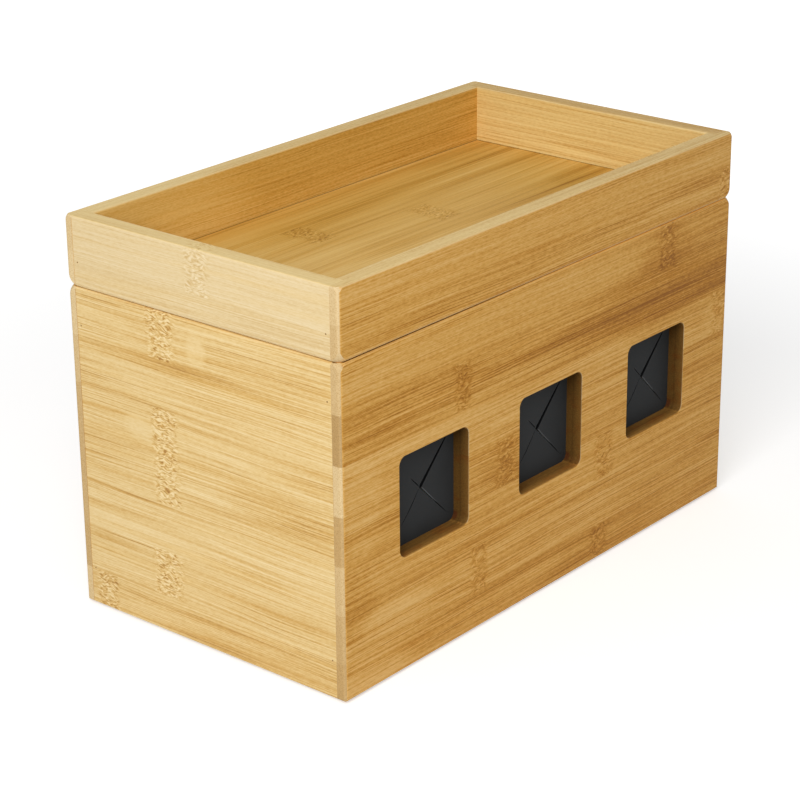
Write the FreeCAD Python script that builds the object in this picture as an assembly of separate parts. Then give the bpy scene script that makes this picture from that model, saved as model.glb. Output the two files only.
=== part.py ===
import FreeCAD, Part
import math
import os

# Cable management box of laminated bamboo: an open body with three cable windows in its front,
# each closed by a rubber sheet with an X-shaped slit, and a lift-off lid whose top is a tray.
# Millimetres. X runs along the length, the windowed front faces -Y, Z is up, and the origin is
# below the middle of the box, on the surface that its feet stand on.

# Outer sizes of the wood
length = 310.0
width = 170.0
body_height = 165.0
lid_height = 35.0
wall = 10.0

# Corner joints: the ends of the long panels keep a lip outside the end panels
joint_lip = 5.0
joint_chamfer = 0.2

# Floors let into rabbets in the walls' lower edges
bottom_thickness = 5.0
tray_floor_thickness = 5.0
floor_rabbet = 5.0

# Sanded edges
corner_round = 2.0
rim_round = 1.0
body_top_round = 1.5
lid_bottom_round = 2.0
base_round = 0.6

# Corners worn softer than the edges that meet there: radius on the plan, inside the edge's round
rim_soft_round = 2.5
lid_bottom_soft_round = 4.2
body_top_soft_round = 3.5

# Cable windows, spread evenly along the front panel
window_names = ("left", "middle", "right")
window_side = 50.0
window_corner_round = 4.0
window_edge_bevel = 0.5

# Rubber seals: square sheets glued into shallow pockets behind the windows
seal_lap = 5.0
seal_thickness = 1.6
seal_corner_round = 3.0
pocket_depth = 1.0
pocket_clearance = 0.3

# X-shaped slit: how far each arm reaches along X and Z, and how wide it is cut
slit_reach = 20.0
slit_width = 0.3

# Fold lines of the flaps, just outside the slit's ends
fold_offset = 1.5
fold_clearance = 0.05

# Rubber feet
foot_diameter = 12.0
foot_thickness = 1.5
foot_inset = 20.0
foot_edge_bevel = 0.4

# Battens under the tray floor, which centre the lid in the body
batten_width = 10.0
batten_depth = 8.0
batten_clearance = 1.0
batten_lead = 2.5

# Headless steel pins through the corner joints
pin_diameter = 0.8
pin_length = 24.0
pin_recess = 0.4
pin_clearance = 0.05
body_pin_margin = 19.0
lid_pin_height = 12.5

# How far cutting tools run past the wood, and how near two points count as one
overrun = 5.0
same_point_share = 1e-6

# Heights, from the surface that the box stands on
base_z = foot_thickness
seat_z = base_z + body_height
top_z = seat_z + lid_height
tray_z = seat_z + tray_floor_thickness
window_z = base_z + body_height / 2
body_pin_heights = (base_z + body_pin_margin, seat_z - body_pin_margin)
lid_pin_heights = (seat_z + lid_pin_height,)

# Plan sizes from the middle
half_length = length / 2
half_width = width / 2
bay_half_length = half_length - wall
bay_half_width = half_width - wall

# Directions
ALONG_X = FreeCAD.Vector(1, 0, 0)
ALONG_Y = FreeCAD.Vector(0, 1, 0)
ALONG_Z = FreeCAD.Vector(0, 0, 1)


def on_plan(u, v, height):
    return FreeCAD.Vector(u, v, height)


def on_front(u, v, depth):
    return FreeCAD.Vector(u, depth, v)


def on_side(u, v, across):
    return FreeCAD.Vector(across, u, v)


def outline(corners, place, level):
    """Closed wire through (u, v, radius) corners, laid in the plane that place puts at level."""
    starts = []
    edges = []
    count = len(corners)
    for i, (u, v, radius) in enumerate(corners):
        corner = place(u, v, level)
        before = place(corners[i - 1][0], corners[i - 1][1], level)
        after = place(corners[(i + 1) % count][0], corners[(i + 1) % count][1], level)
        if radius == 0:
            starts.append((corner, corner, None))
            continue
        to_before = (before - corner).normalize()
        to_after = (after - corner).normalize()
        half_angle = to_before.getAngle(to_after) / 2
        reach = radius / math.tan(half_angle)
        inward = (to_before + to_after).normalize()
        middle = corner + inward * (radius / math.sin(half_angle) - radius)
        starts.append((corner + to_before * reach, corner + to_after * reach, middle))
    for i, (arc_start, arc_end, middle) in enumerate(starts):
        if middle is not None:
            edges.append(Part.Arc(arc_start, middle, arc_end).toShape())
        next_start = starts[(i + 1) % count][0]
        if arc_end.distanceToPoint(next_start) > length * same_point_share:
            edges.append(Part.LineSegment(arc_end, next_start).toShape())
    return Part.Wire(edges)


def prism(corners, place, low, high):
    """Solid swept from level low to level high, square to the outline's plane."""
    base = Part.Face(outline(corners, place, low))
    return base.extrude(place(0, 0, high) - place(0, 0, low))


def rectangle(u_low, u_high, v_low, v_high, radius=0):
    corners = ((u_low, v_low), (u_high, v_low), (u_high, v_high), (u_low, v_high))
    return [(u, v, radius) for u, v in corners]


def slab(half_x, half_y, low, high):
    return prism(rectangle(-half_x, half_x, -half_y, half_y), on_plan, low, high)


def soften_corners(form, end_z, inward, edge_round, soft_round):
    """A frame's form with its corners worn to balls at one end; inward is 1 where the frame rises."""
    reach = edge_round + soft_round
    ball_radius = reach * math.sqrt(2) - corner_round * (math.sqrt(2) - 1)
    end_radius = soft_round + edge_round / 2
    middle_z = end_z + inward * math.sqrt(ball_radius**2 - end_radius**2)
    low, high = sorted((end_z, middle_z))
    for side_x in (-1, 1):
        for side_y in (-1, 1):
            x = side_x * (half_length - reach)
            y = side_y * (half_width - reach)
            u_low, u_high = sorted((x, side_x * (half_length + overrun)))
            v_low, v_high = sorted((y, side_y * (half_width + overrun)))
            corner = prism(rectangle(u_low, u_high, v_low, v_high), on_plan, low, high)
            ball = Part.makeSphere(ball_radius, FreeCAD.Vector(x, y, middle_z))
            form = form.cut(corner.cut(ball))
    return form


def rounded_block(low, high, low_round, high_round):
    """The box's outer form between two heights, with its edges sanded round."""

    def upright(half):
        return [
            (-half, low, low_round),
            (half, low, low_round),
            (half, high, high_round),
            (-half, high, high_round),
        ]

    plan = rectangle(-half_length, half_length, -half_width, half_width, corner_round)
    form = prism(plan, on_plan, low, high)
    form = form.common(prism(upright(half_length), on_front, -half_width, half_width))
    return form.common(prism(upright(half_width), on_side, -half_length, half_length))


def flared_core(low, high, mouth_round):
    """The hollow inside the walls, opening out at the top so that the inner edge is round."""
    above = high + overrun

    def upright(half):
        return [
            (-half, low, 0),
            (half, low, 0),
            (half, high, mouth_round),
            (half + overrun, high, 0),
            (half + overrun, above, 0),
            (-half - overrun, above, 0),
            (-half - overrun, high, 0),
            (-half, high, mouth_round),
        ]

    reach_x = bay_half_length + overrun
    reach_y = bay_half_width + overrun
    lengthwise = prism(upright(bay_half_length), on_front, -reach_y, reach_y)
    crosswise = prism(upright(bay_half_width), on_side, -reach_x, reach_x)
    return lengthwise.common(crosswise)


def wall_ring(low, high, low_round, high_round, floor_thickness):
    """Four walls in one, with the rabbet for the floor cut into their lower inside edge."""
    ring = rounded_block(low, high, low_round, high_round)
    ring = ring.cut(flared_core(low - overrun, high, rim_round))
    rabbet = slab(
        bay_half_length + floor_rabbet,
        bay_half_width + floor_rabbet,
        low - overrun,
        low + floor_thickness,
    )
    return ring.cut(rabbet)


def end_footprint(side):
    """Plan of an end panel, set between the lips of the long panels; side is -1 left, 1 right."""
    outer = side * half_length
    inner = side * bay_half_length
    edge = half_width - joint_lip
    return [
        (inner, -edge, 0),
        (outer - side * joint_chamfer, -edge, 0),
        (outer, -edge + joint_chamfer, 0),
        (outer, edge - joint_chamfer, 0),
        (outer - side * joint_chamfer, edge, 0),
        (inner, edge, 0),
    ]


def long_footprint(side):
    """Plan of a long panel with its two end rabbets; side is -1 front, 1 rear."""
    outer = side * half_width
    shoulder = side * (half_width - joint_lip)
    inner = side * bay_half_width
    return [
        (-half_length, outer, 0),
        (half_length, outer, 0),
        (half_length, shoulder, 0),
        (bay_half_length, shoulder, 0),
        (bay_half_length, inner, 0),
        (-bay_half_length, inner, 0),
        (-bay_half_length, shoulder, 0),
        (-half_length, shoulder, 0),
    ]


def split_walls(ring, low, high):
    """Front, rear, left and right walls of a ring, each a solid of its own."""
    footprints = (long_footprint(-1), long_footprint(1), end_footprint(-1), end_footprint(1))
    return [ring.common(prism(plan, on_plan, low, high)) for plan in footprints]


def pin_places(heights):
    """Outer end and inward direction of each corner pin, in the middle of the joint's shoulder."""
    shoulder_y = half_width - (joint_lip + wall) / 2
    places = []
    for side_x in (-1, 1):
        for side_y in (-1, 1):
            for height in heights:
                end = FreeCAD.Vector(side_x * half_length, side_y * shoulder_y, height)
                places.append((end, ALONG_X * -side_x))
    return places


def pin_rods(heights):
    radius = pin_diameter / 2
    rods = []
    for end, inward in pin_places(heights):
        rods.append(Part.makeCylinder(radius, pin_length, end + inward * pin_recess, inward))
    return Part.Compound(rods)


def pin_holes(heights):
    radius = pin_diameter / 2 + pin_clearance
    depth = pin_recess + pin_length + pin_clearance
    holes = []
    for end, inward in pin_places(heights):
        start = end - inward * overrun
        holes.append(Part.makeCylinder(radius, depth + overrun, start, inward))
    return Part.Compound(holes)


def window_centres():
    """Middle of each window along X, from left to right, with equal wood between and outside."""
    count = len(window_names)
    gap = (length - window_side * count) / (count + 1)
    first = -half_length + gap + window_side / 2
    return [first + (window_side + gap) * i for i in range(count)]


def centred_square(x, z, half, radius):
    return rectangle(x - half, x + half, z - half, z + half, radius)


def cut_windows(panel):
    """Windows with round corners and bevelled front edges, and a pocket for each seal behind."""
    half_seal = window_side / 2 + seal_lap
    inner_y = -bay_half_width
    for x in window_centres():
        hole = centred_square(x, window_z, window_side / 2, window_corner_round)
        panel = panel.cut(prism(hole, on_front, -half_width - overrun, inner_y + overrun))
        pocket = centred_square(x, window_z, half_seal + pocket_clearance, seal_corner_round)
        panel = panel.cut(prism(pocket, on_front, inner_y - pocket_depth, inner_y + overrun))
    reach = (window_side + window_edge_bevel) / 2
    mouths = []
    for edge in panel.Edges:
        box = edge.BoundBox
        on_face = max(abs(box.YMin + half_width), abs(box.YMax + half_width)) < window_edge_bevel / 2
        beside_window = any(max(abs(box.XMin - x), abs(box.XMax - x)) < reach for x in window_centres())
        at_height = max(abs(box.ZMin - window_z), abs(box.ZMax - window_z)) < reach
        if on_face and beside_window and at_height:
            mouths.append(edge)
    return panel.makeChamfer(window_edge_bevel, mouths)


# Seals and flaps: worked out for the flap that stands up from the bottom of the slit

seal_front_y = -bay_half_width - pocket_depth
seal_back_y = seal_front_y + seal_thickness
fold_y = (seal_front_y + seal_back_y) / 2
fold_reach = slit_reach + fold_offset
flap_half_root = slit_reach - slit_width
flap_tip = fold_reach - slit_width / math.sqrt(2)
flap_shoulder = flap_tip - flap_half_root


def make_seal(x):
    """Sheet with a square hole whose corners stay filled as far as the slit's ends."""
    square = centred_square(x, window_z, window_side / 2 + seal_lap, seal_corner_round)
    sheet = prism(square, on_front, seal_front_y, seal_back_y)
    hole = fold_reach + seal_thickness / 2 + fold_clearance
    upright = rectangle(x - slit_reach, x + slit_reach, window_z - hole, window_z + hole)
    level = rectangle(x - hole, x + hole, window_z - slit_reach, window_z + slit_reach)
    sheet = sheet.cut(prism(upright, on_front, seal_front_y - overrun, seal_back_y + overrun))
    return sheet.cut(prism(level, on_front, seal_front_y - overrun, seal_back_y + overrun))


def make_flap(x, quarter_turns):
    """Triangular flap with a half-round root on its fold line, turned about the window's middle."""
    fold_z = window_z - fold_reach
    half_thickness = seal_thickness / 2
    profile = [
        (seal_front_y, fold_z - half_thickness, half_thickness),
        (seal_back_y, fold_z - half_thickness, half_thickness),
        (seal_back_y, window_z, 0),
        (seal_front_y, window_z, 0),
    ]
    shape = [
        (x - flap_half_root, fold_z - seal_thickness, 0),
        (x + flap_half_root, fold_z - seal_thickness, 0),
        (x + flap_half_root, fold_z + flap_shoulder, 0),
        (x, fold_z + flap_tip, 0),
        (x - flap_half_root, fold_z + flap_shoulder, 0),
    ]
    flap = prism(profile, on_side, x - fold_reach, x + fold_reach)
    flap = flap.common(prism(shape, on_front, seal_front_y - overrun, seal_back_y + overrun))
    flap.rotate(FreeCAD.Vector(x, fold_y, window_z), ALONG_Y, -90 * quarter_turns)
    return flap


def make_foot(side_x, side_y):
    """Low round pad with a bevelled rim where it meets the table."""
    x = side_x * (half_length - foot_inset)
    y = side_y * (half_width - foot_inset)
    radius = foot_diameter / 2
    section = [
        (0, 0, 0),
        (radius - foot_edge_bevel, 0, 0),
        (radius, foot_edge_bevel, 0),
        (radius, foot_thickness, 0),
        (0, foot_thickness, 0),
    ]
    pad = Part.Face(outline(section, on_front, 0)).revolve(FreeCAD.Vector(0, 0, 0), ALONG_Z, 360)
    pad.translate(FreeCAD.Vector(x, y, 0))
    return pad


def make_batten(half_run, side, lengthwise):
    """Batten under the tray floor with a lead-in bevel on its outer lower edge."""
    bay = bay_half_width if lengthwise else bay_half_length
    outer = side * (bay - batten_clearance)
    inner = outer - side * batten_width
    bevel = outer - side * batten_lead
    low = seat_z - batten_depth
    section = [
        (inner, seat_z, 0),
        (outer, seat_z, 0),
        (outer, low + batten_lead, 0),
        (bevel, low, 0),
        (inner, low, 0),
    ]
    return prism(section, on_side if lengthwise else on_front, -half_run, half_run)


def build():
    parts = {}

    body = wall_ring(base_z, seat_z, base_round, body_top_round, bottom_thickness)
    body = soften_corners(body, seat_z, -1, body_top_round, body_top_soft_round)
    body = body.cut(pin_holes(body_pin_heights))
    front, rear, left, right = split_walls(body, base_z, seat_z)
    parts["front_panel"] = cut_windows(front)
    parts["rear_panel"] = rear
    parts["left_panel"] = left
    parts["right_panel"] = right
    parts["bottom_panel"] = slab(
        bay_half_length + floor_rabbet,
        bay_half_width + floor_rabbet,
        base_z,
        base_z + bottom_thickness,
    )
    parts["body_corner_pins"] = pin_rods(body_pin_heights)

    for side_x, across in ((-1, "left"), (1, "right")):
        for side_y, along in ((-1, "front"), (1, "rear")):
            parts[f"foot_{along}_{across}"] = make_foot(side_x, side_y)

    for name, x in zip(window_names, window_centres()):
        parts[f"seal_{name}"] = make_seal(x)
        for quarter_turns, edge in enumerate(("bottom", "right", "top", "left")):
            parts[f"seal_{name}_flap_{edge}"] = make_flap(x, quarter_turns)

    lid = wall_ring(seat_z, top_z, lid_bottom_round, rim_round, tray_floor_thickness)
    lid = soften_corners(lid, seat_z, 1, lid_bottom_round, lid_bottom_soft_round)
    lid = soften_corners(lid, top_z, -1, rim_round, rim_soft_round)
    lid = lid.cut(pin_holes(lid_pin_heights))
    front, rear, left, right = split_walls(lid, seat_z, top_z)
    parts["lid_front_rail"] = front
    parts["lid_rear_rail"] = rear
    parts["lid_left_rail"] = left
    parts["lid_right_rail"] = right
    parts["tray_floor"] = slab(
        bay_half_length + floor_rabbet, bay_half_width + floor_rabbet, seat_z, tray_z
    )
    parts["lid_corner_pins"] = pin_rods(lid_pin_heights)

    long_run = bay_half_length - batten_clearance
    short_run = bay_half_width - batten_clearance - batten_width
    parts["lid_batten_front"] = make_batten(long_run, -1, True)
    parts["lid_batten_rear"] = make_batten(long_run, 1, True)
    parts["lid_batten_left"] = make_batten(short_run, -1, False)
    parts["lid_batten_right"] = make_batten(short_run, 1, False)
    return parts


os.makedirs("parts", exist_ok=True)
for node, shape in build().items():
    shape.exportStep(f"parts/{node}.step")
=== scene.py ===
import math

import bmesh
import bpy
from mathutils import Matrix, Vector


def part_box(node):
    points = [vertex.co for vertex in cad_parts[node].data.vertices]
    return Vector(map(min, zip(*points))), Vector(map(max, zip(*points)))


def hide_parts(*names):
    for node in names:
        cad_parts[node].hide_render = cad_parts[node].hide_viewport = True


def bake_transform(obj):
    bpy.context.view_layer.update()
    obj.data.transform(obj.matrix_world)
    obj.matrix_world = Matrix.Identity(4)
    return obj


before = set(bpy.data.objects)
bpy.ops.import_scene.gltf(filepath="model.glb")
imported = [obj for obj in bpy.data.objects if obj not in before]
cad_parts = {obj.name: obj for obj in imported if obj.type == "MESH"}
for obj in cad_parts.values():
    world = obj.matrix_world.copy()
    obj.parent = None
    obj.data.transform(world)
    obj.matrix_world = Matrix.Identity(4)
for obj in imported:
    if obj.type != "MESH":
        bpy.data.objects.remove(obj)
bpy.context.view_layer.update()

# Bamboo cable box with a lift-off tray lid. Metres in the part's own frame: X along the length,
# the windowed front faces -Y, Z up. Grain sizes are written in millimetres, as the shaders use them.
MM = 0.001
MM_PER_METRE = 1000.0

# Camera at the photograph's viewpoint
CAMERA_PLACE = Vector((-0.8969, -0.7409, 0.5494))
CAMERA_FORWARD = Vector((0.7107, 0.5958, -0.3741))
CAMERA_RIGHT = Vector((0.6396, -0.7686, -0.0089))
CAMERA_LENS = 110.8

# Studio; the floor's own glow grows with the distance from the box, so that the shadow stays
WORLD_LEVEL = 0.5
FLOOR_SIDE = 40.0
FLOOR_DROP = 0.0001
FLOOR_PALENESS = 0.82
NEAR_LIFT = 0.46
FAR_LIFT = 0.82
NEAR_REACH = 300.0
FAR_REACH = 1000.0
KEY_PLACE = Vector((-1.30, -0.66, 1.05))
KEY_SIDE = 1.0
KEY_WATTS = 19.5
AIM = Vector((0.0, 0.0, 0.1))

# Boards: the slats that each panel is glued up from
SLAT = 24.4
BODY_SLAT_START = -4.1
LID_SLAT_START = 159.8
LID_SIDE_SLAT_START = 155.0
FLOOR_SLAT_START = -75.0

# Windows, for the routed sides, dark with scorch and with painted shade; PLY_DEPTH is the joint
# between the front's two layers, and the burn lies in each window's lower right corner
WINDOW_PITCH = 90.0
WINDOW_MIDDLE_Z = 84.0
WINDOW_HALF = 25.0
WINDOW_REACH = 1.2
WINDOWS_END = (140.0, 130.0)
FRONT_Y = -85.0
SEAL_FRONT = -76.0
PLY_DEPTH = 5.0
BURN_DEPTH = 8.2
BURN_RISE = 2.5
BURN_SHARE = 0.75

# The seat of the lid on the body: dirt and painted shade darken the outer edge of the joint, with a
# painted highlight beside them. Along the front the dirt and shade grow from none to full between two
# points along the length, given below.
HALF_LENGTH = 155.0
HALF_WIDTH = 85.0
SEAT_Z = 166.5
SEAT_EDGE = 1.6
SEAT_EDGE_BLUR = 0.3
SEAT_HIGHLIGHT_REACH = (0.55, 0.2)
SEAT_DIRT_AND_SHADE_REACH = (0.25, 0.10)
FRONT_DIRT_AND_SHADE = (60.0, -120.0)
FRONT_DIRT_AND_SHADE_SHARE = 0.85
FRONT_HIGHLIGHT_SHARE = 0.5

# The line of dirt and painted shade round the tray's floor, where it meets the rails
BAY_HALF_LENGTH = 145.0
BAY_HALF_WIDTH = 75.0
FLOOR_DIRT_AND_SHADE_HALF = 0.55
FLOOR_DIRT_AND_SHADE_SHARE = 0.75

# Rubber flaps: each grows from the edge of the sheet's hole at HOLE_HALF and ends in a blunt tip
# at TIP_REACH, counted from the window's middle
WINDOWS = ("left", "middle", "right")
FLAP_EDGES = ("bottom", "right", "top", "left")
SLIT_REACH = 20.0 * MM
HOLE_HALF = 22.35 * MM
CLOSED_ROUND = 0.01 * MM
FLAP_ROWS = 18
FLAP_COLUMNS = 8
ROUND_STEPS = 4
ROUND_LIMIT = 0.45
SLIT_TAPER = 8
TIP_REACH = 0.15 * MM

# How far each flap's tip stands out of the sheet, + outward
TIP_PROUD = {"bottom": -0.5 * MM, "right": 0.5 * MM, "top": -0.2 * MM, "left": -0.15 * MM}

# Each slit by the flaps on its two sides: half its width where the cut has opened, how far from
# the window's middle it shows, the radii of the first and the second flap's cut edge, and how far
# the cut is bowed towards the second
SLITS = {
    ("bottom", "right"): (0.18 * MM, 22.0 * MM, 0.05 * MM, 0.70 * MM, 0.0),
    ("right", "top"): (0.62 * MM, 22.0 * MM, 0.20 * MM, 0.05 * MM, 0.0),
    ("top", "left"): (0.20 * MM, 6.5 * MM, 0.10 * MM, 0.10 * MM, 0.0),
    ("left", "bottom"): (0.25 * MM, 16.0 * MM, 0.20 * MM, 0.20 * MM, 1.6 * MM),
}


class Value:
    """A number in a material's graph, so that its formulas read like sums."""

    def __init__(self, graph, socket):
        self.graph = graph
        self.socket = socket

    def _math(self, operation, *others, clamp=False):
        return self.graph.math(operation, self, *others, clamp=clamp)

    def __add__(self, other):
        return self._math("ADD", other)

    def __sub__(self, other):
        return self._math("SUBTRACT", other)

    def __mul__(self, other):
        return self._math("MULTIPLY", other)

    def __truediv__(self, other):
        return self._math("DIVIDE", other)

    __radd__ = __add__
    __rmul__ = __mul__

    def __rsub__(self, other):
        return self.graph.math("SUBTRACT", other, self)

    def __abs__(self):
        return self._math("ABSOLUTE")

    def floor(self):
        return self._math("FLOOR")

    def root(self):
        return self._math("SQRT")

    def most(self, other):
        return self._math("MAXIMUM", other)

    def clamped(self):
        return self._math("ADD", 0.0, clamp=True)

    def rise(self, low, high):
        """0 below low and 1 above high, smooth in between; low may be the higher of the two."""
        node = self.graph.node("ShaderNodeMapRange", interpolation_type="SMOOTHSTEP")
        self.graph.feed(node.inputs["Value"], self)
        if low < high:
            settings = {"From Min": low, "From Max": high, "To Min": 0.0, "To Max": 1.0}
        else:
            settings = {"From Min": high, "From Max": low, "To Min": 1.0, "To Max": 0.0}
        for name, value in settings.items():
            self.graph.feed(node.inputs[name], value)
        return Value(self.graph, node.outputs["Result"])

    def near(self, middle, half, edge):
        """1 within half of middle, falling to 0 over the next edge."""
        return abs(self - middle).rise(half + edge, half)


class Graph:
    """Makes and joins the shader nodes of one material, or of the world."""

    def __init__(self, owner):
        self.owner = owner
        owner.use_nodes = True
        self.tree = owner.node_tree
        self.tree.nodes.clear()

    def node(self, kind, **settings):
        made = self.tree.nodes.new(kind)
        for setting, value in settings.items():
            setattr(made, setting, value)
        return made

    def feed(self, socket, value):
        if isinstance(value, Value):
            value = value.socket
        if isinstance(value, bpy.types.NodeSocket):
            self.tree.links.new(value, socket)
        elif isinstance(value, tuple):
            socket.default_value = (*value, 1.0)
        else:
            socket.default_value = value

    def math(self, operation, *values, clamp=False):
        node = self.node("ShaderNodeMath", operation=operation, use_clamp=clamp)
        for socket, value in zip(node.inputs, values):
            self.feed(socket, value)
        return Value(self, node.outputs[0])

    def place(self):
        """Place on the object in millimetres, as three values."""
        return self.split(self.node("ShaderNodeTexCoord").outputs["Object"], MM_PER_METRE)

    def facing(self):
        """How squarely the surface faces along X, Y and Z, as three values from 0 to 1."""
        normal = self.node("ShaderNodeTexCoord").outputs["Normal"]
        return [abs(value) for value in self.split(normal, 1.0)]

    def split(self, vector, scale):
        node = self.node("ShaderNodeSeparateXYZ")
        self.feed(node.inputs[0], vector)
        return [Value(self, output) * scale for output in node.outputs]

    def vector(self, x, y, z):
        node = self.node("ShaderNodeCombineXYZ")
        for socket, value in zip(node.inputs, (x, y, z)):
            self.feed(socket, value)
        return node.outputs[0]

    def noise(self, x, y, z, detail=2.0, distortion=0.0):
        """Smooth noise about zero, mostly within -1 and 1, on coordinates counted in its cells."""
        node = self.node("ShaderNodeTexNoise", noise_dimensions="3D")
        self.feed(node.inputs["Vector"], self.vector(x, y, z))
        node.inputs["Scale"].default_value = 1.0
        node.inputs["Detail"].default_value = detail
        node.inputs["Roughness"].default_value = 0.5
        node.inputs["Distortion"].default_value = distortion
        return Value(self, node.outputs[0]) * 4.0 - 2.0

    def dots(self, x, y, z):
        """Distance from the nearest of a scatter of points, counted in cells."""
        node = self.node("ShaderNodeTexVoronoi", feature="F1", voronoi_dimensions="3D")
        self.feed(node.inputs["Vector"], self.vector(x, y, z))
        node.inputs["Scale"].default_value = 1.0
        node.inputs["Randomness"].default_value = 0.8
        return Value(self, node.outputs["Distance"])

    def chance(self, value):
        """One random number from 0 to 1 for each whole value."""
        node = self.node("ShaderNodeTexWhiteNoise", noise_dimensions="1D")
        self.feed(node.inputs["W"], value)
        return Value(self, node.outputs["Value"])

    def ramp(self, value, stops):
        """Colour that runs through (position, colour) stops."""
        node = self.node("ShaderNodeValToRGB")
        self.feed(node.inputs["Fac"], value)
        elements = node.color_ramp.elements
        while len(elements) < len(stops):
            elements.new(1.0)
        for element, (position, colour) in zip(elements, stops):
            element.position = position
            element.color = (*colour, 1.0)
        return node.outputs["Color"]

    def mix(self, share, first, second, blend="MIX"):
        node = self.node("ShaderNodeMix", data_type="RGBA", blend_type=blend)
        self.feed(node.inputs["Factor"], share)
        self.feed(node.inputs[6], first)
        self.feed(node.inputs[7], second)
        return node.outputs[2]

    def bump(self, height, strength, distance):
        node = self.node("ShaderNodeBump")
        node.inputs["Strength"].default_value = strength
        node.inputs["Distance"].default_value = distance
        self.feed(node.inputs["Height"], height)
        return node.outputs["Normal"]

    def finish(self, colour, roughness, normal, **constants):
        """Ends the material in one Principled surface; constants are set on its own sockets."""
        surface = self.node("ShaderNodeBsdfPrincipled")
        self.feed(surface.inputs["Base Color"], colour)
        self.feed(surface.inputs["Roughness"], roughness)
        self.feed(surface.inputs["Normal"], normal)
        for name, value in constants.items():
            surface.inputs[name.replace("_", " ")].default_value = value
        output = self.node("ShaderNodeOutputMaterial")
        self.tree.links.new(surface.outputs[0], output.inputs["Surface"])
        return self.owner


# Bamboo colours, from the darkest fibre lines to the palest slats, as linear light. The boards are one
# bamboo: the paler, greyer straw, cream and lemon copies carry painted sheen and light, as on the
# lamp-lit left end
HONEY = (
    (0.0, (0.30, 0.108, 0.010)),
    (0.34, (0.52, 0.230, 0.030)),
    (0.62, (0.70, 0.375, 0.083)),
    (1.0, (0.84, 0.530, 0.190)),
)
WHEAT = (
    (0.0, (0.32, 0.135, 0.018)),
    (0.34, (0.55, 0.285, 0.045)),
    (0.62, (0.72, 0.420, 0.092)),
    (1.0, (0.85, 0.560, 0.180)),
)
# Paler copy with painted sheen and light
CREAM_WITH_SHEEN = (
    (0.0, (0.46, 0.270, 0.105)),
    (0.34, (0.66, 0.460, 0.205)),
    (0.62, (0.765, 0.590, 0.320)),
    (1.0, (0.86, 0.715, 0.470)),
)
# Rails' top edges: paler partly from their sanded grain and partly from painted sheen
RIM_GRAIN_AND_SHEEN = (
    (0.0, (0.42, 0.215, 0.055)),
    (0.34, (0.66, 0.400, 0.115)),
    (0.62, (0.80, 0.555, 0.215)),
    (1.0, (0.92, 0.700, 0.320)),
)
# Paler copy with painted sheen and light
STRAW_WITH_SHEEN = (
    (0.0, (0.42, 0.215, 0.060)),
    (0.34, (0.65, 0.400, 0.125)),
    (0.62, (0.775, 0.560, 0.250)),
    (1.0, (0.88, 0.695, 0.385)),
)
# Paler copy with painted sheen and light
LEMON_WITH_SHEEN = (
    (0.0, (0.42, 0.212, 0.055)),
    (0.34, (0.65, 0.405, 0.120)),
    (0.62, (0.80, 0.580, 0.228)),
    (1.0, (0.92, 0.730, 0.335)),
)
END_GRAIN = (
    (0.0, (0.30, 0.170, 0.060)),
    (0.5, (0.54, 0.345, 0.138)),
    (1.0, (0.80, 0.620, 0.345)),
)
# Routed window sides: dark partly from scorching and partly as painted shade of the recess
ROUTED_SIDE = (0.205, 0.100, 0.022)
ROUTED_END = (0.108, 0.052, 0.011)
BURN = (0.080, 0.020, 0.006)
# Pale arris colour: sanded wear and painted highlight
SANDED_AND_HIGHLIGHT = (0.86, 0.68, 0.40)
# Dull brown of dirt, which also stands in for painted shade in joints and corners
DIRT_AND_SHADE = (0.17, 0.070, 0.008)
# Painted highlight: a bright orange line of light along the seam's outer edge
SEAM_HIGHLIGHT = (0.98, 0.56, 0.13)
AMBER_STAIN = (1.0, 0.94, 0.78)
SCORCH_STAIN = (1.0, 0.74, 0.60)
RUBBER_DARK = (0.78, 0.83, 0.86)
RUBBER_PALE = (1.20, 1.27, 1.32)
FILLER = ((0.0, (0.20, 0.110, 0.040)), (1.0, (0.42, 0.255, 0.110)))

# How much of the pale arris colour, partly sanded wear and partly painted highlight, shows on the
# arrises
BODY_WEAR_AND_HIGHLIGHT = 0.12
LID_WEAR_AND_HIGHLIGHT = 0.35

# Gloss, as the shader's own specular level, and relief as (strength, height of the bumps)
WOOD_GLOSS = 0.10
RUBBER_GLOSS = 0.06
PIN_GLOSS = 0.3
WOOD_RELIEF = (0.30, 0.06 * MM)
RUBBER_RELIEF = (0.12, 0.03 * MM)
PIN_RELIEF = (0.2, 0.02 * MM)

# Cells of the noise behind each size of streak, along the grain and across it
BROAD_CELL = (170.0, 7.0)
MIDDLE_CELL = (130.0, 2.7)
BUNDLE_CELL = (110.0, 1.25)
FINE_CELL = (90.0, 0.54)
GRIT_CELL = (2.4, 0.7)
HAIR_CELL = (75.0, 0.62)
CROWD_CELL = (120.0, 8.0)
CURL_CELL = (7.0, 4.5)
WARMTH_CELL = (150.0, 5.0)

# How strongly each size of streak marks a board: wide bands down to single fibres, grit and
# the dark hairlines
PLAIN = {"broad": 0.11, "middle": 0.04, "bundles": 0.04, "fine": 0.28, "grit": 0.13, "hairs": 0.35}
LIVELY = {"broad": 0.10, "middle": 0.07, "bundles": 0.12, "fine": 0.26, "grit": 0.10, "hairs": 0.35}
CALM = {"broad": 0.04, "middle": 0.03, "bundles": 0.04, "fine": 0.21, "grit": 0.09, "hairs": 0.22}
CLOUDY = {"broad": 0.28, "middle": 0.12, "bundles": 0.07, "fine": 0.13, "grit": 0.06, "hairs": 0.18}

AXES = {"X": 0, "Y": 1, "Z": 2}

# How far the slats, and the boards, lie apart in the noise, counted in its cells
LOT_SHIFT = 570.0
SEED_SHIFT = 91.0

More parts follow.
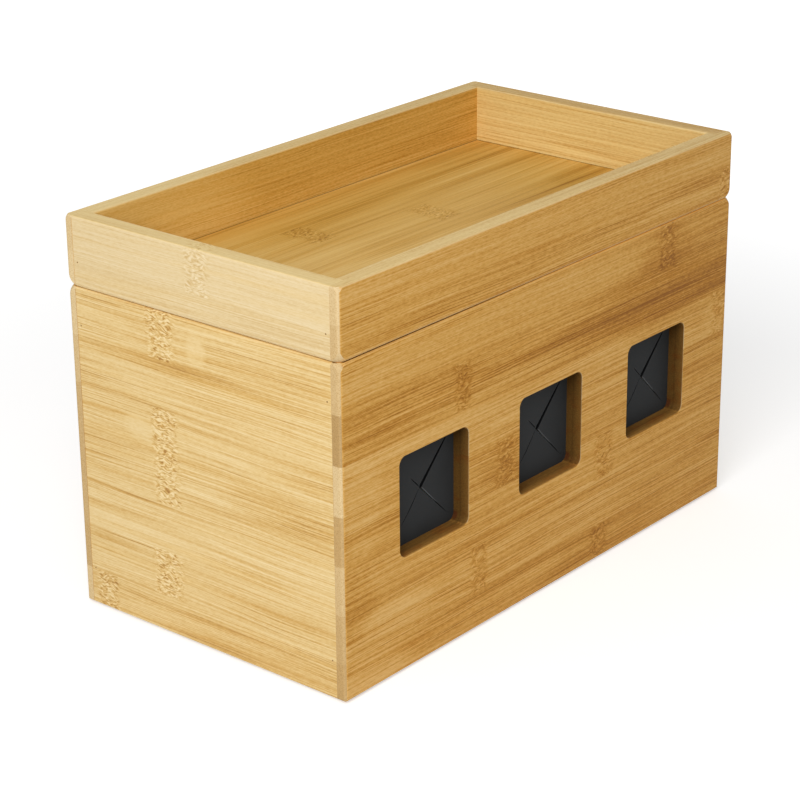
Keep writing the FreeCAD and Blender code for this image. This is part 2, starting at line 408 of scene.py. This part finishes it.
# Where a board's tone lies in its colours, and how much the slats differ, planed and sawn
PLANED_LEVEL = 0.62
PLANED_SPREAD = 0.08
SAWN_LEVEL = 0.60
SAWN_SPREAD = 0.34
WOOD_ROUGHNESS = 0.44

# The line between two slats: how dark it is, and from where to where it darkens, counted in
# slats from the middle of one
JOINT_LEVEL = 0.10
JOINT_REACH = (0.486, 0.499)


def shade(colour, share):
    return tuple(share * part for part in colour)


class Board:
    """Lacquered bamboo board: slats side by side, fibres along the grain, mottled knuckles.

    grain is the axis that the fibres follow and stack the one that the slats are laid along, the
    first of them from start. marks are knuckles as (middle along the grain, slat number, half
    length). patches are stretches of other tone as (middle along, middle across, half length,
    half breadth, tone), and smooth ones the same with the share of the streaks that they lack.
    tints are (slat number, tone).
    """

    def __init__(self, name, grain, stack, start, seed):
        self.graph = Graph(bpy.data.materials.new(name))
        place = self.graph.place()
        facing = self.graph.facing()
        (depth_axis,) = set(AXES) - {grain, stack}
        self.place = place
        self.along = place[AXES[grain]]
        self.across = place[AXES[stack]]
        self.depth = place[AXES[depth_axis]]
        self.end_facing = facing[AXES[grain]]
        self.edge_facing = facing[AXES[stack]]
        self.face_facing = facing[AXES[depth_axis]]
        self.start = start
        self.slat = ((self.across - start) / SLAT).floor()
        self.lot = self.graph.chance(self.slat + seed)
        self.shift = self.lot * LOT_SHIFT + seed * SEED_SHIFT

    def noise(self, length, breadth, turn=0.0, detail=1.0):
        """Noise in cells of this length along the grain and breadth across it; turn picks another."""
        return self.graph.noise(
            self.along / length + self.shift,
            self.fibre / breadth + turn,
            self.depth / breadth,
            detail,
        )

    def knuckle_mask(self, marks):
        """1 on each knuckle, with ragged sides."""
        if not marks:
            return 0.0
        ragged = self.along + self.noise(9.0, 2.4, 5.0) * 1.8
        mask = 0.0
        for middle, number, half in marks:
            slat_middle = self.start + (number + 0.5) * SLAT
            band = ragged.near(middle, half * 0.6, half * 0.7)
            patch = band * self.across.near(slat_middle, SLAT / 2 - 0.35, 0.3)
            mask = patch + mask
        return mask.clamped()

    def patch_mask(self, wobble, middle, height, half_length, half_breadth):
        """1 in the middle of a long soft patch, running out in streaks."""
        along = (self.along - middle) / half_length
        across = (self.fibre - height) / half_breadth
        return (along * along + across * across + wobble * 0.35).rise(1.5, 0.2)

    def paint(
        self, colours, shares, marks=(), mottle=0.4, knuckle=-0.03, patches=(), smooth=(), tints=()
    ):
        """Colour and relief of the planed faces.

        shares says how strongly each size of streak shows, mottle the same for the flecks of a
        knuckle, and knuckle is a knuckle's own tone.
        """
        graph = self.graph
        self.fibre = self.across
        drift = self.noise(140.0, 35.0) * 1.1 + self.noise(30.0, 12.0, 9.0) * 0.12
        knuckles = self.knuckle_mask(marks)
        curl = self.noise(*CURL_CELL, 17.0)
        drift = drift + curl * knuckles * 0.9
        self.fibre = self.across + drift

        broad = self.noise(*BROAD_CELL, 3.1, detail=2.0)
        middle = self.noise(*MIDDLE_CELL, 7.7, detail=2.0)
        bundles = self.noise(*BUNDLE_CELL, 13.9)
        fine = self.noise(*FINE_CELL, 11.3)
        grit = self.noise(*GRIT_CELL, 31.3)
        crowd = self.noise(*CROWD_CELL, 41.3).rise(-0.8, 0.6)
        hairs = self.noise(*HAIR_CELL, 23.7).rise(-0.15, -0.80) * crowd

        calm = 1.0 - knuckles * 0.75
        level = PLANED_LEVEL + (self.lot - 0.5) * PLANED_SPREAD
        for number, tint in tints:
            level = level + self.slat.near(number, 0.2, 0.1) * tint
        for *where, tint in patches:
            level = level + self.patch_mask(middle, *where) * tint
        for *where, share in smooth:
            calm = calm * (1.0 - self.patch_mask(middle, *where) * share)
        streaks = middle * shares["middle"] + bundles * shares["bundles"] + fine * shares["fine"]
        level = level + broad * shares["broad"] + streaks * calm + grit * shares["grit"]
        level = level - hairs * calm * shares["hairs"]
        height = fine * 0.5 + bundles * 0.3 - hairs * 0.6 + grit * 0.2
        if marks:
            fleck = graph.noise(
                self.along / 2.5 + curl * 0.5,
                (self.across + curl * 1.2) / 0.85 + self.shift,
                self.depth / 1.3,
                detail=1.0,
                distortion=0.4,
            )
            level = level + knuckles * (fleck * mottle + knuckle)
            height = height + knuckles * fleck * 0.6
        joint = abs((self.across - self.start) / SLAT - self.slat - 0.5).rise(*JOINT_REACH)
        self.level = level - joint * JOINT_LEVEL
        self.height = height
        self.grit = grit
        self.fine = fine
        warmth = self.noise(*WARMTH_CELL, 55.0).clamped() * 0.4
        colour = graph.ramp(self.level, colours)
        self.colour = graph.mix(warmth, colour, AMBER_STAIN, "MULTIPLY")
        self.roughness = (WOOD_ROUGHNESS + broad * 0.03 + hairs * 0.08).clamped()

    def rim(self, colours, lift):
        """Paler edge, where the board is seen along its slats' sides: partly sanded grain, partly
        painted sheen.
        """
        edge = self.edge_facing.rise(0.55, 0.9)
        self.colour = self.graph.mix(
            edge, self.colour, self.graph.ramp(self.level + lift, colours)
        )

    def saw_ends(self, tints=(), lift=0.0):
        """Cut fibres on the faces across the grain."""
        graph = self.graph
        self.sawn = self.end_facing.rise(0.35, 0.55)
        pores = graph.dots(self.along / 6.0, self.across / 0.62, self.depth / 0.62).rise(0.5, 0.18)
        cloud = graph.noise(self.along / 4.0, self.across / 0.9, self.depth / 0.9, detail=3.0)
        level = SAWN_LEVEL + lift + (self.lot - 0.5) * SAWN_SPREAD
        level = level + cloud * 0.07 - pores * 0.22
        for number, tint in tints:
            level = level + self.slat.near(number, 0.2, 0.1) * tint * 2.2
        self.colour = graph.mix(self.sawn, self.colour, graph.ramp(level, END_GRAIN))
        self.roughness = (self.roughness + self.sawn * 0.12).clamped()

    def ease(self, share, spared=0.0):
        """Paler arrises: partly sanded wear, partly painted highlight."""
        flattest = self.end_facing.most(self.edge_facing).most(self.face_facing)
        worn_and_highlit = flattest.rise(0.985, 0.86) * (1.0 - spared)
        self.colour = self.graph.mix(worn_and_highlit * share, self.colour, SANDED_AND_HIGHLIGHT)

    def window_mask(self):
        """1 inside the outline of any window, its arris included."""
        nearest = (self.along / WINDOW_PITCH + 0.5).floor() * WINDOW_PITCH
        reach = WINDOW_HALF + WINDOW_REACH
        self.aside = self.along - nearest
        inside = self.aside.near(0.0, reach, 0.2)
        inside = inside * self.across.near(WINDOW_MIDDLE_Z, reach, 0.2)
        return inside * abs(self.along).rise(*WINDOWS_END)

    def rout(self, inside):
        """Window sides scorched by the cutter, and darkened by painted shade deeper into the recess and
        towards its top.
        """
        graph = self.graph
        into = self.depth - FRONT_Y
        routed = inside * into.rise(-0.05, 0.35) * self.face_facing.rise(0.97, 0.75)
        ply = into.near(PLY_DEPTH, 0.15, 0.4)
        # Painted shade: the sides are paler near the face and darker deeper into the recess
        level = 0.52 + self.grit * 0.10 + self.fine * 0.14 - ply * 0.12 + into.rise(5.5, 0.6) * 0.25
        # Painted shadow under the window's upper edge: darker towards its top
        level = level - self.across.rise(WINDOW_MIDDLE_Z, WINDOW_MIDDLE_Z + WINDOW_HALF) * 0.15
        sides = []
        for tone in (ROUTED_SIDE, ROUTED_END):
            stops = ((0.0, shade(tone, 0.4)), (0.5, tone), (1.0, shade(tone, 2.0)))
            sides.append(graph.ramp(level, stops))
        colour = graph.mix(self.sawn, *sides)
        scorch = self.noise(16.0, 6.0, 61.0).clamped() * 0.8
        colour = graph.mix(scorch, colour, SCORCH_STAIN, "MULTIPLY")
        burn = self.aside.near(WINDOW_HALF, 1.0, 2.5) * into.near(BURN_DEPTH, 1.0, 1.2)
        burn = burn * self.across.near(WINDOW_MIDDLE_Z - WINDOW_HALF + BURN_RISE, 1.0, 1.8)
        colour = graph.mix(burn * BURN_SHARE, colour, BURN)
        self.colour = graph.mix(routed, self.colour, colour)

    def add_dirt_and_shade(self, line):
        """Dull brown grime and painted shade on a line."""
        self.colour = self.graph.mix(line, self.colour, DIRT_AND_SHADE)
        self.roughness = (self.roughness + line * 0.5).clamped()

    def skirt(self):
        """Thin line of grime and painted shade round the tray's floor."""
        for value, half in ((self.along, BAY_HALF_LENGTH), (self.across, BAY_HALF_WIDTH)):
            for side in (-half, half):
                # Dirt and painted shade where the floor meets the rails
                line = value.near(side, FLOOR_DIRT_AND_SHADE_HALF, FLOOR_DIRT_AND_SHADE_HALF)
                self.add_dirt_and_shade(line * FLOOR_DIRT_AND_SHADE_SHARE)

    def seat(self, dirt_and_shade=0.3, seam_highlight=0.1):
        """Outer line between lid and body: dark with grime and painted shade, with a bright painted
        highlight beside it.
        """
        x, y, z = self.place
        outer = 0.0
        for value, half in ((x, HALF_LENGTH), (y, HALF_WIDTH)):
            edge = half - SEAT_EDGE
            outer = abs(value).rise(edge, edge + SEAT_EDGE_BLUR).most(outer)
        gap = abs(z - SEAT_Z)
        # Painted highlight beside the seam's dark line
        seam_highlight_line = outer * gap.rise(*SEAT_HIGHLIGHT_REACH) * seam_highlight
        self.colour = self.graph.mix(seam_highlight_line, self.colour, SEAM_HIGHLIGHT)
        # Dirt and painted shade in the joint's outer line
        self.add_dirt_and_shade(outer * gap.rise(*SEAT_DIRT_AND_SHADE_REACH) * dirt_and_shade)

    def seat_front(self):
        """The same on the windowed side, where the grime and painted shade thin out towards the right
        and the painted highlight grows.
        """
        dirt_and_shade = self.along.rise(*FRONT_DIRT_AND_SHADE)
        self.seat(dirt_and_shade * FRONT_DIRT_AND_SHADE_SHARE, FRONT_HIGHLIGHT_SHARE - dirt_and_shade * FRONT_HIGHLIGHT_SHARE)

    def finish(self):
        normal = self.graph.bump(self.height, *WOOD_RELIEF)
        return self.graph.finish(
            self.colour, self.roughness, normal, Specular_IOR_Level=WOOD_GLOSS
        )


def rubber(name, level, seed, slit_shade_and_highlight_share=0.0):
    """Matt black rubber, faintly cloudy, with painted shade darkening its cuts and a painted highlight
    on the cut edge that stands out.
    """
    graph = Graph(bpy.data.materials.new(name))
    x, y, z = graph.place()
    cloud = graph.noise(x / 14.0 + seed, y / 14.0, z / 14.0, detail=3.0)
    dust = graph.noise(x / 0.5, y / 0.5, z / 0.5 + seed, detail=2.0)
    dark = shade(RUBBER_DARK, level)
    pale = shade(RUBBER_PALE, level)
    colour = graph.ramp(0.5 + cloud * 0.2 + dust * 0.08, ((0.0, dark), (1.0, pale)))
    squarely = graph.facing()[1]
    cut = squarely.rise(0.5, 0.2)
    aside = x - (x / WINDOW_PITCH + 0.5).floor() * WINDOW_PITCH
    # Painted highlight on the proud lower cut edge to the right of each window's middle
    cut_edge_highlight = aside.rise(0.3, 1.2) * aside.rise(14.0, 9.0) * z.rise(WINDOW_MIDDLE_Z, WINDOW_MIDDLE_Z - 1.0)
    cut_edge_highlight = cut_edge_highlight * y.rise(SEAL_FRONT + 0.9, SEAL_FRONT + 0.5) * squarely.rise(0.99, 0.93)
    # Painted shade in the cuts, so that the slits read dark
    colour = graph.mix(cut * slit_shade_and_highlight_share, colour, shade(dark, 0.1))
    colour = graph.mix(cut_edge_highlight * slit_shade_and_highlight_share, colour, shade(pale, 3.0))
    roughness = (0.56 + cloud * 0.05 + dust * 0.03 + cut * 0.3).clamped()
    normal = graph.bump(dust, *RUBBER_RELIEF)
    return graph.finish(colour, roughness, normal, Specular_IOR_Level=RUBBER_GLOSS)


def filled_pin(name):
    """Set-in pin under a dab of brown filler, lacquered over."""
    graph = Graph(bpy.data.materials.new(name))
    x, y, z = graph.place()
    scratch = graph.noise(x / 0.6, y / 0.3, z / 0.3, detail=2.0)
    colour = graph.ramp(0.5 + scratch * 0.25, FILLER)
    normal = graph.bump(scratch, *PIN_RELIEF)
    roughness = (0.5 + scratch * 0.08).clamped()
    return graph.finish(colour, roughness, normal, Specular_IOR_Level=PIN_GLOSS)


def dress(nodes, material):
    for name in nodes:
        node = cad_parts[name]
        node.data.materials.clear()
        node.data.materials.append(material)


def finish_wall(node, board, lift=0.0):
    board.saw_ends(lift=lift)
    board.ease(BODY_WEAR_AND_HIGHLIGHT)
    board.seat()
    dress([node], board.finish())


def dress_body():
    """The four walls and the bottom, with the knuckles and bands that the photograph shows."""
    board = Board("bamboo_front", "X", "Z", BODY_SLAT_START, 11.0)
    tints = ((6, -0.01), (5, -0.08), (4, 0.04), (3, -0.03), (2, 0.01), (1, 0.06), (0, -0.02))
    board.paint(
        HONEY,
        PLAIN,
        marks=(
            (-69.0, 5, 6.0),
            (-36.0, 3, 8.0),
            (45.0, 2, 7.5),
            (-57.0, 1, 6.5),
            (42.5, 0, 7.5),
            (98.0, 6, 8.0),
            (149.0, 4, 9.0),
        ),
        mottle=0.32,
        knuckle=-0.12,
        patches=(
            (105.0, 131.0, 110.0, 17.0, -0.21),
            (85.0, 128.0, 60.0, 2.0, -0.10),
            (-130.0, 130.0, 30.0, 9.0, -0.07),
            (-69.0, 132.0, 28.0, 10.0, -0.08),
            (149.0, 105.0, 14.0, 12.0, 0.10),
            (-37.0, 81.0, 22.0, 13.0, -0.08),
            (98.0, 152.0, 24.0, 13.0, -0.10),
            (45.0, 57.0, 18.0, 12.0, -0.06),
            (135.0, 90.0, 26.0, 3.0, -0.10),
            # Painted shade: the front darkens towards its right end, as the lamp's light falls off
            (150.0, 80.0, 90.0, 150.0, -0.07),
            (-150.0, 46.0, 16.0, 18.0, -0.13),
            (-60.0, 47.0, 70.0, 2.5, -0.12),
            (-120.0, 34.0, 32.0, 8.0, 0.16),
            (-143.0, 93.0, 16.0, 26.0, 0.11),
            (-128.0, 40.0, 28.0, 9.0, 0.05),
            (-30.0, 18.0, 110.0, 2.5, -0.12),
            (45.0, 10.0, 50.0, 9.0, -0.12),
            (-138.0, 8.0, 30.0, 8.0, 0.22),
            (110.0, 45.0, 40.0, 3.0, -0.08),
        ),
        smooth=((0.0, 155.0, 190.0, 18.0, 0.4), (-60.0, 112.0, 90.0, 8.0, 0.2)),
        tints=tints,
    )
    board.saw_ends(tints)
    inside = board.window_mask()
    board.ease(BODY_WEAR_AND_HIGHLIGHT, inside)
    board.rout(inside)
    board.seat_front()
    dress(["front_panel"], board.finish())

    board = Board("bamboo_left", "Y", "Z", BODY_SLAT_START, 23.0)
    board.paint(
        STRAW_WITH_SHEEN,
        LIVELY,
        marks=(
            (25.0, 6, 8.5),
            (24.5, 4, 8.0),
            (24.5, 3, 8.0),
            (26.0, 1, 9.0),
            (69.0, 0, 7.0),
        ),
        mottle=0.62,
        patches=(
            (42.0, 104.0, 10.0, 6.0, 0.12),
            (2.0, 153.0, 6.0, 8.0, 0.10),
            (10.0, 140.0, 120.0, 4.0, -0.15),
            (50.0, 119.0, 45.0, 2.0, -0.12),
            (-45.0, 84.0, 40.0, 8.0, -0.15),
            (0.0, 68.0, 120.0, 0.9, -0.22),
            (-45.0, 150.0, 45.0, 5.0, -0.10),
            (-30.0, 9.0, 60.0, 8.0, -0.12),
            (-50.0, 30.0, 45.0, 9.0, -0.05),
            (66.0, 41.0, 18.0, 3.0, -0.10),
            (40.0, 165.0, 60.0, 2.0, -0.12),
        ),
        smooth=((42.0, 104.0, 10.0, 6.0, 0.8), (2.0, 153.0, 6.0, 8.0, 0.7)),
        tints=((2, 0.04), (5, 0.03), (0, -0.05)),
    )
    finish_wall("left_panel", board)

    board = Board("bamboo_rear", "X", "Z", BODY_SLAT_START, 37.0)
    board.paint(
        HONEY,
        PLAIN,
        marks=((-92.0, 6, 6.0), (60.0, 5, 6.5), (-30.0, 3, 6.0), (104.0, 2, 6.0), (-80.0, 1, 6.5)),
        knuckle=-0.08,
        patches=(
            (-60.0, 130.0, 80.0, 12.0, -0.12),
            (60.0, 60.0, 70.0, 9.0, -0.10),
            (-20.0, 20.0, 90.0, 2.5, -0.12),
        ),
    )
    finish_wall("rear_panel", board, lift=0.16)

    board = Board("bamboo_right", "Y", "Z", BODY_SLAT_START, 41.0)
    board.paint(
        STRAW_WITH_SHEEN,
        LIVELY,
        marks=((-30.0, 5, 6.0), (12.0, 4, 6.5), (-44.0, 2, 6.0), (36.0, 0, 6.0)),
        patches=(
            (20.0, 92.0, 60.0, 3.0, -0.18),
            (-20.0, 40.0, 60.0, 8.0, -0.10),
            (10.0, 118.0, 90.0, 1.5, -0.18),
        ),
    )
    finish_wall("right_panel", board)

    board = Board("bamboo_bottom", "X", "Y", FLOOR_SLAT_START, 73.0)
    board.paint(HONEY, PLAIN, marks=((80.0, 1, 6.0),))
    board.saw_ends()
    board.ease(BODY_WEAR_AND_HIGHLIGHT)
    dress(["bottom_panel"], board.finish())


def dress_lid():
    """The tray's four rails and floor, and the battens below it."""
    sides = {
        "front": ("X", LID_SLAT_START, 53.0, HONEY, PLAIN),
        "rear": ("X", LID_SLAT_START, 59.0, WHEAT, PLAIN),
        "left": ("Y", LID_SIDE_SLAT_START, 61.0, CREAM_WITH_SHEEN, CALM),
        "right": ("Y", LID_SIDE_SLAT_START, 67.0, LEMON_WITH_SHEEN, LIVELY),
    }
    marks = {"front": ((149.0, 0, 5.5),), "left": ((0.0, 1, 7.5),)}
    patches = {"rear": ((-115.0, 185.0, 75.0, 30.0, 0.24),)}
    # Painted sheen on each rail's top: paler on the left rail, darker on the right
    rim_grain_and_sheen_lifts = {"front": 0.05, "rear": 0.08, "left": 0.20, "right": -0.15}
    end_lifts = {"front": 0.12, "rear": 0.40, "left": 0.0, "right": 0.0}
    for side, (grain, start, seed, colours, streaks) in sides.items():
        node = f"lid_{side}_rail"
        board = Board(f"bamboo_{node}", grain, "Z", start, seed)
        board.paint(
            colours,
            streaks,
            marks=marks.get(side, ()),
            patches=patches.get(side, ()),
            smooth=((0.0, 193.0, 190.0, 14.0, 0.4),),
        )
        board.rim(RIM_GRAIN_AND_SHEEN, rim_grain_and_sheen_lifts[side])
        board.saw_ends(lift=end_lifts[side])
        board.ease(LID_WEAR_AND_HIGHLIGHT)
        if side == "front":
            board.seat_front()
        else:
            board.seat()
        dress([node], board.finish())

    board = Board("bamboo_tray", "X", "Y", FLOOR_SLAT_START, 71.0)
    board.paint(
        WHEAT,
        CLOUDY,
        marks=((-40.0, 4, 8.0), (27.0, 3, 8.0)),
        knuckle=-0.14,
        patches=(
            (-40.0, 40.0, 60.0, 14.0, -0.06),
            (-120.0, 0.0, 80.0, 90.0, 0.22),
            (5.0, 2.0, 75.0, 14.0, 0.03),
            (50.0, 36.0, 60.0, 3.0, -0.14),
            (125.0, 66.0, 45.0, 12.0, -0.12),
            (-15.0, 70.0, 100.0, 5.0, -0.08),
            (125.0, -10.0, 22.0, 14.0, -0.10),
        ),
    )
    board.saw_ends()
    board.skirt()
    dress(["tray_floor"], board.finish())

    battens = (("lid_batten_front", "lid_batten_rear"), ("lid_batten_left", "lid_batten_right"))
    for nodes, grain, stack, seed in zip(battens, "XY", "YX", (79.0, 83.0)):
        board = Board(f"bamboo_batten_{grain.lower()}", grain, stack, FLOOR_SLAT_START, seed)
        board.paint(HONEY, PLAIN)
        board.saw_ends()
        board.ease(BODY_WEAR_AND_HIGHLIGHT)
        dress(nodes, board.finish())


def round_section(low, high, front_y, back_y, low_round, high_round):
    """Points round a flap's cross-section as (across, y): flat front and back, rounded cut sides."""
    width = high - low
    low_round = min(low_round, width * ROUND_LIMIT)
    high_round = min(high_round, width * ROUND_LIMIT)
    points = []
    for i in range(FLAP_COLUMNS + 1):
        points.append((low + low_round + (width - low_round - high_round) * i / FLAP_COLUMNS, front_y))
    corners = (
        (high - high_round, front_y + high_round, high_round, -90),
        (high - high_round, back_y - high_round, high_round, 0),
        (low + low_round, back_y - low_round, low_round, 90),
        (low + low_round, front_y + low_round, low_round, 180),
    )
    for number, (u, y, radius, first) in enumerate(corners):
        for i in range(1, ROUND_STEPS + 1):
            angle = math.radians(first + 90 * i / ROUND_STEPS)
            points.append((u + radius * math.cos(angle), y + radius * math.sin(angle)))
        if number == 1:
            for i in range(1, FLAP_COLUMNS + 1):
                share = i / FLAP_COLUMNS
                points.append((high - high_round - (width - low_round - high_round) * share, back_y))
    return points[:-1]


def slit_half_width(reach, opening, shown):
    """Half the slit's width at a distance from the window's middle: closed at its end."""
    return opening * max(0.0, 1 - (reach / min(shown, SLIT_REACH)) ** SLIT_TAPER)


def slit_round(reach, shown, radius):
    """Radius of a cut edge there: none is left where the slit is pressed shut."""
    return max(CLOSED_ROUND, radius * math.sqrt(max(0.0, 1 - reach / shown)))


def make_flap(window, edge, quarter_turns, material):
    """Soft triangular flap that grows out of the sheet, with rounded cut edges and a slight curl."""
    node = f"seal_{window}_flap_{edge}"
    sheet_low, sheet_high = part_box(f"seal_{window}")
    middle = (sheet_low + sheet_high) / 2
    front_y = sheet_low.y - middle.y
    back_y = sheet_high.y - middle.y
    before = FLAP_EDGES[quarter_turns - 1]
    after = FLAP_EDGES[(quarter_turns + 1) % len(FLAP_EDGES)]
    low_opening, low_shown, _, low_radius, low_bow = SLITS[(before, edge)]
    high_opening, high_shown, high_radius, _, high_bow = SLITS[(edge, after)]
    turned = Matrix.Rotation(math.radians(-90 * quarter_turns), 3, "Y")

    shape = bmesh.new()
    rings = []
    reaches = [HOLE_HALF, (HOLE_HALF + SLIT_REACH) / 2]
    for i in range(FLAP_ROWS + 1):
        reaches.append(SLIT_REACH + (TIP_REACH - SLIT_REACH) * i / FLAP_ROWS)
    for reach in reaches:
        full = min(reach, SLIT_REACH)
        bow = math.sin(math.pi * full / SLIT_REACH)
        low = low_bow * bow - full + slit_half_width(reach, low_opening, low_shown) * math.sqrt(2)
        high = high_bow * bow + full - slit_half_width(reach, high_opening, high_shown) * math.sqrt(2)
        if high - low < TIP_REACH:
            offset = (high + low) / 2
            low = offset - TIP_REACH / 2
            high = offset + TIP_REACH / 2
        along_share = (HOLE_HALF - reach) / HOLE_HALF
        curl = -TIP_PROUD[edge] * along_share**2
        rounds = (
            slit_round(reach, low_shown, low_radius),
            slit_round(reach, high_shown, high_radius),
        )
        ring = []
        for u, y in round_section(low, high, front_y, back_y, *rounds):
            point = turned @ Vector((u, y + curl, -reach)) + middle
            ring.append(shape.verts.new(point))
        rings.append(ring)
    for first, second in zip(rings, rings[1:]):
        for i, vertex in enumerate(first):
            j = (i + 1) % len(first)
            shape.faces.new((vertex, first[j], second[j], second[i]))
    for ring in (rings[-1], list(reversed(rings[0]))):
        end = shape.faces.new(ring)
        for rim in end.edges:
            rim.smooth = False
    bmesh.ops.recalc_face_normals(shape, faces=shape.faces)
    mesh = bpy.data.meshes.new(f"{node}_soft")
    shape.to_mesh(mesh)
    shape.free()
    for face in mesh.polygons:
        face.use_smooth = True
    flap = bpy.data.objects.new(f"{node}_soft", mesh)
    bpy.context.scene.collection.objects.link(flap)
    weighted = flap.modifiers.new("flat_faces_stay_flat", "WEIGHTED_NORMAL")
    weighted.keep_sharp = True
    mesh.materials.append(material)
    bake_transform(flap)
    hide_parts(node)
    return flap


def studio():
    """Pale floor, even world light and one large soft lamp from the left."""
    bpy.ops.mesh.primitive_plane_add(size=FLOOR_SIDE, location=(0, 0, -FLOOR_DROP))
    floor = bpy.context.object
    floor.name = "studio_floor"
    graph = Graph(bpy.data.materials.new("studio_floor"))
    x, y, _ = graph.place()
    away = (x * x + y * y).root().rise(NEAR_REACH, FAR_REACH)
    glow = seen_rays(graph) * (away * (FAR_LIFT - NEAR_LIFT) + NEAR_LIFT)
    paint = graph.node("ShaderNodeBsdfDiffuse")
    paint.inputs["Color"].default_value = (FLOOR_PALENESS, FLOOR_PALENESS, FLOOR_PALENESS, 1)
    lift = graph.node("ShaderNodeEmission")
    graph.feed(lift.inputs["Strength"], glow)
    both = graph.node("ShaderNodeAddShader")
    graph.tree.links.new(paint.outputs[0], both.inputs[0])
    graph.tree.links.new(lift.outputs[0], both.inputs[1])
    output = graph.node("ShaderNodeOutputMaterial")
    graph.tree.links.new(both.outputs[0], output.inputs["Surface"])
    floor.data.materials.append(graph.owner)

    world = bpy.data.worlds.new("studio_world")
    bpy.context.scene.world = world
    graph = Graph(world)
    background = graph.node("ShaderNodeBackground")
    strength = seen_rays(graph) * (1.0 - WORLD_LEVEL) + WORLD_LEVEL
    graph.feed(background.inputs["Strength"], strength)
    output = graph.node("ShaderNodeOutputWorld")
    graph.tree.links.new(background.outputs[0], output.inputs["Surface"])

    lamp = bpy.data.lights.new("key", "AREA")
    lamp.shape = "SQUARE"
    lamp.size = KEY_SIDE
    lamp.energy = KEY_WATTS
    key = bpy.data.objects.new("key", lamp)
    bpy.context.scene.collection.objects.link(key)
    key.location = KEY_PLACE
    key.rotation_euler = (AIM - KEY_PLACE).to_track_quat("-Z", "Y").to_euler()


def seen_rays(graph):
    """1 where a ray comes from the camera, or by way of a reflection or glass."""
    rays = graph.node("ShaderNodeLightPath")
    camera = Value(graph, rays.outputs["Is Camera Ray"])
    glossy = Value(graph, rays.outputs["Is Glossy Ray"])
    through = Value(graph, rays.outputs["Is Transmission Ray"])
    return camera.most(glossy).most(through)


def make_camera():
    data = bpy.data.cameras.new("camera")
    data.lens = CAMERA_LENS
    camera = bpy.data.objects.new("camera", data)
    bpy.context.scene.collection.objects.link(camera)
    back = -CAMERA_FORWARD.normalized()
    up = back.cross(CAMERA_RIGHT).normalized()
    right = up.cross(back)
    turn = Matrix((right, up, back)).transposed().to_4x4()
    camera.matrix_world = Matrix.Translation(CAMERA_PLACE) @ turn
    bpy.context.scene.camera = camera


dress_body()
dress_lid()
seal_rubber = rubber("seal_rubber", 0.035, 5.0, slit_shade_and_highlight_share=0.9)
dress([f"seal_{window}" for window in WINDOWS], seal_rubber)
dress(
    [f"foot_{along}_{across}" for along in ("front", "rear") for across in ("left", "right")],
    rubber("foot_rubber", 0.020, 9.0),
)
dress(["body_corner_pins", "lid_corner_pins"], filled_pin("pin_filler"))
for window in WINDOWS:
    for quarter_turns, edge in enumerate(FLAP_EDGES):
        make_flap(window, edge, quarter_turns, seal_rubber)
studio()
make_camera()
bpy.context.scene.view_settings.view_transform = "Standard"
